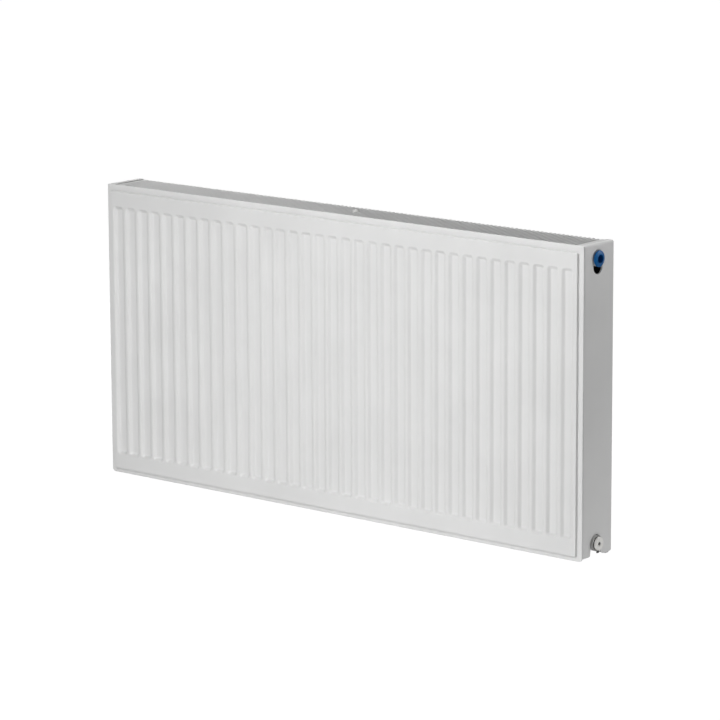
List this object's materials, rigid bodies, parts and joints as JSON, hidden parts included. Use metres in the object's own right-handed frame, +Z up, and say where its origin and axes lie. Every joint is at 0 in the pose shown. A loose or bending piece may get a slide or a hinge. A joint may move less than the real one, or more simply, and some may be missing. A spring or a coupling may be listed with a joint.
{
  "type": "panel radiator",
  "caption": "White steel panel radiator with a pressed front, a lift-off top grille, side covers, blue transport caps, a vent and a drain plug.",
  "frame": {"origin": "centre of the footprint, on the level of the panels' bottom edges", "axes": "+X along the length to the end with the upper capped connection, +Y to the wall, +Z up; the front faces -Y"},
  "size_m": [1.217, 0.1112, 0.6015],
  "materials": {
    "white_paint": "satin",
    "blue_plastic": "satin",
    "nickel": "plated",
    "black_plastic": "matte",
    "steel": "turned",
    "seal_rubber": "matte"
  },
  "bodies": {
    "radiator_body": {"front_outer_sheet": "white_paint", "front_inner_sheet": "white_paint", "rear_inner_sheet": "white_paint", "rear_outer_sheet": "white_paint", "front_convector": "white_paint", "rear_convector": "white_paint", "tee_top_left": "white_paint", "tee_top_right": "white_paint", "tee_bottom_left": "white_paint", "tee_bottom_right": "white_paint", "lug_upper_left": "white_paint", "lug_upper_right": "white_paint", "lug_lower_left": "white_paint", "lug_lower_right": "white_paint", "drain_plug": "nickel", "drain_seal": "seal_rubber", "vent_plug": "nickel", "vent_seal": "seal_rubber"},
    "grille": {"top_grille": "white_paint", "grille_clip": "white_paint"},
    "left_cover": {"left_side_cover": "white_paint"},
    "right_cover": {"right_side_cover": "white_paint"},
    "upper_cap": {"cap_top_right": "blue_plastic"},
    "lower_cap": {"cap_bottom_left": "blue_plastic"},
    "drain_swivel": {"drain_ring": "black_plastic"},
    "drain_spindle": {"drain_screw": "steel"},
    "vent_swivel": {"vent_ring": "black_plastic"},
    "vent_spindle": {"vent_screw": "steel"}
  },
  "joints": [
    {"name": "grille_lift", "type": "slide", "parent": "radiator_body", "child": "grille", "axis": [0, 0, 1], "range_m": [0, 0.05]},
    {"name": "left_cover_pull", "type": "slide", "parent": "radiator_body", "child": "left_cover", "axis": [-1, 0, 0], "range_m": [0, 0.03]},
    {"name": "right_cover_pull", "type": "slide", "parent": "radiator_body", "child": "right_cover", "axis": [1, 0, 0], "range_m": [0, 0.03]},
    {"name": "upper_cap_pull", "type": "slide", "parent": "radiator_body", "child": "upper_cap", "axis": [1, 0, 0], "range_m": [0, 0.02]},
    {"name": "lower_cap_pull", "type": "slide", "parent": "radiator_body", "child": "lower_cap", "axis": [-1, 0, 0], "range_m": [0, 0.02]},
    {"name": "drain_swivel_turn", "type": "hinge", "parent": "radiator_body", "child": "drain_swivel", "pos_m": [0.5997, -0.00515, 0.029], "axis": [1, 0, 0], "continuous": true},
    {"name": "vent_swivel_turn", "type": "hinge", "parent": "radiator_body", "child": "vent_swivel", "pos_m": [-0.5997, -0.00515, 0.571], "axis": [-1, 0, 0], "continuous": true},
    {"name": "drain_spindle_turn", "type": "hinge", "parent": "radiator_body", "child": "drain_spindle", "pos_m": [0.5997, -0.00515, 0.029], "axis": [1, 0, 0], "range_deg": [0, 270]},
    {"name": "vent_spindle_turn", "type": "hinge", "parent": "radiator_body", "child": "vent_spindle", "pos_m": [-0.5997, -0.00515, 0.571], "axis": [-1, 0, 0], "range_deg": [0, 270]}
  ]
}
